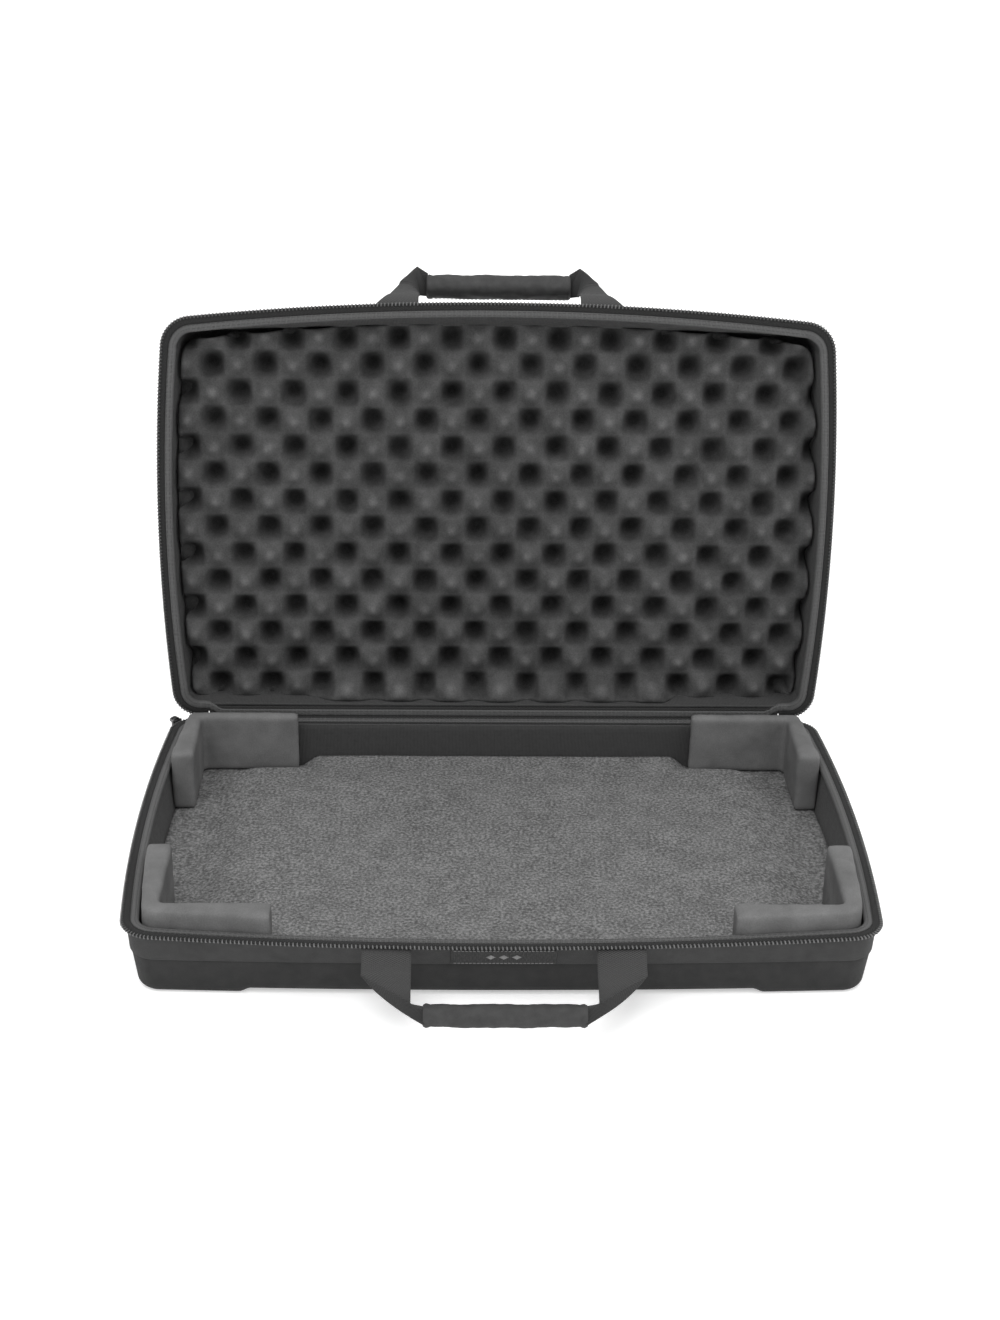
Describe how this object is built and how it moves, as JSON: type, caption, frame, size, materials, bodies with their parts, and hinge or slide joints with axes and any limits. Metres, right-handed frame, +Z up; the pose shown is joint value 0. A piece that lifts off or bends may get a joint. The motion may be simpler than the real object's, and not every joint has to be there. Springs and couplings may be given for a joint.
{
  "type": "zip-around carry case",
  "caption": "Moulded zip-around carry case with fabric-hinged lid, egg-crate lid foam, foam corner blocks, padded floor and a webbing handle on each half.",
  "frame": {"origin": "under the middle of the whole part's box at rest, on the surface that it stands on, with the lid standing open", "axes": "+X along the case, the handles' side faces -Y, the hinge runs along X at the back, +Z up"},
  "size_m": [0.6098, 0.571, 0.4453],
  "materials": {
    "shell_laminate": "knitted laminate over moulded foam, matt",
    "lining": "brushed tricot, matt",
    "zip_tape": "woven tape, matt",
    "zip_coil": "nylon coil, satin",
    "binding": "woven edge binding, matt",
    "pad_felt": "speckled short pile over foam",
    "label": "woven patch",
    "block_foam": "smooth closed-cell foam, matt",
    "egg_foam": "convoluted open-cell foam, matt",
    "webbing": "plain woven webbing",
    "grip_wrap": "stitched woven wrap",
    "grip_core": "soft tube",
    "slider_metal": "black oxide, satin"
  },
  "bodies": {
    "base": {"base_shell": "shell_laminate", "base_lining": "lining", "base_zip_tape": "zip_tape", "base_zip_coil": "zip_coil", "base_zip_stops": "zip_coil", "base_rim_binding": "binding", "base_hinge_leaf": "binding", "floor_pad": "pad_felt", "label_patch": "label", "corner_block_front_left": "block_foam", "corner_block_front_right": "block_foam", "corner_block_rear_left": "block_foam", "corner_block_rear_right": "block_foam", "base_handle_anchor_left": "webbing", "base_handle_anchor_right": "webbing"},
    "lid": {"lid_shell": "shell_laminate", "lid_lining": "lining", "lid_zip_tape": "zip_tape", "lid_zip_coil": "zip_coil", "lid_zip_stops": "zip_coil", "lid_rim_binding": "binding", "lid_hinge_leaf": "binding", "lid_foam": "egg_foam", "lid_handle_anchor_left": "webbing", "lid_handle_anchor_right": "webbing"},
    "base_handle": {"base_handle_strap": "webbing", "base_handle_grip_wrap": "grip_wrap", "base_handle_grip_core": "grip_core"},
    "lid_handle": {"lid_handle_strap": "webbing", "lid_handle_grip_wrap": "grip_wrap", "lid_handle_grip_core": "grip_core"},
    "zip_slider": {"zip_slider": "slider_metal"},
    "zip_pull": {"zip_pull": "slider_metal"}
  },
  "joints": [
    {"name": "lid_hinge", "type": "hinge", "parent": "base", "child": "lid", "pos_m": [0, 0.157, 0.06], "axis": [-1, 0, 0], "range_deg": [-98.4, 81.6]},
    {"name": "base_handle_swing", "type": "hinge", "parent": "base", "child": "base_handle", "pos_m": [0, -0.229, 0.047], "axis": [-1, 0, 0], "range_deg": [-60, 95]},
    {"name": "lid_handle_swing", "type": "hinge", "parent": "lid", "child": "lid_handle", "pos_m": [0, 0.22624, 0.43996], "axis": [1, 0, 0], "range_deg": [-2, 150]},
    {"name": "zip_slider_travel", "type": "hinge", "parent": "base", "child": "zip_slider", "pos_m": [-0.27275, 0.132, 0.06], "axis": [0, 0, 1], "range_deg": [-24, 18]},
    {"name": "zip_pull_swing", "type": "hinge", "parent": "zip_slider", "child": "zip_pull", "pos_m": [-0.29588, 0.15141, 0.06], "axis": [0.6428, 0.766, 0], "range_deg": [-5, 120]}
  ]
}
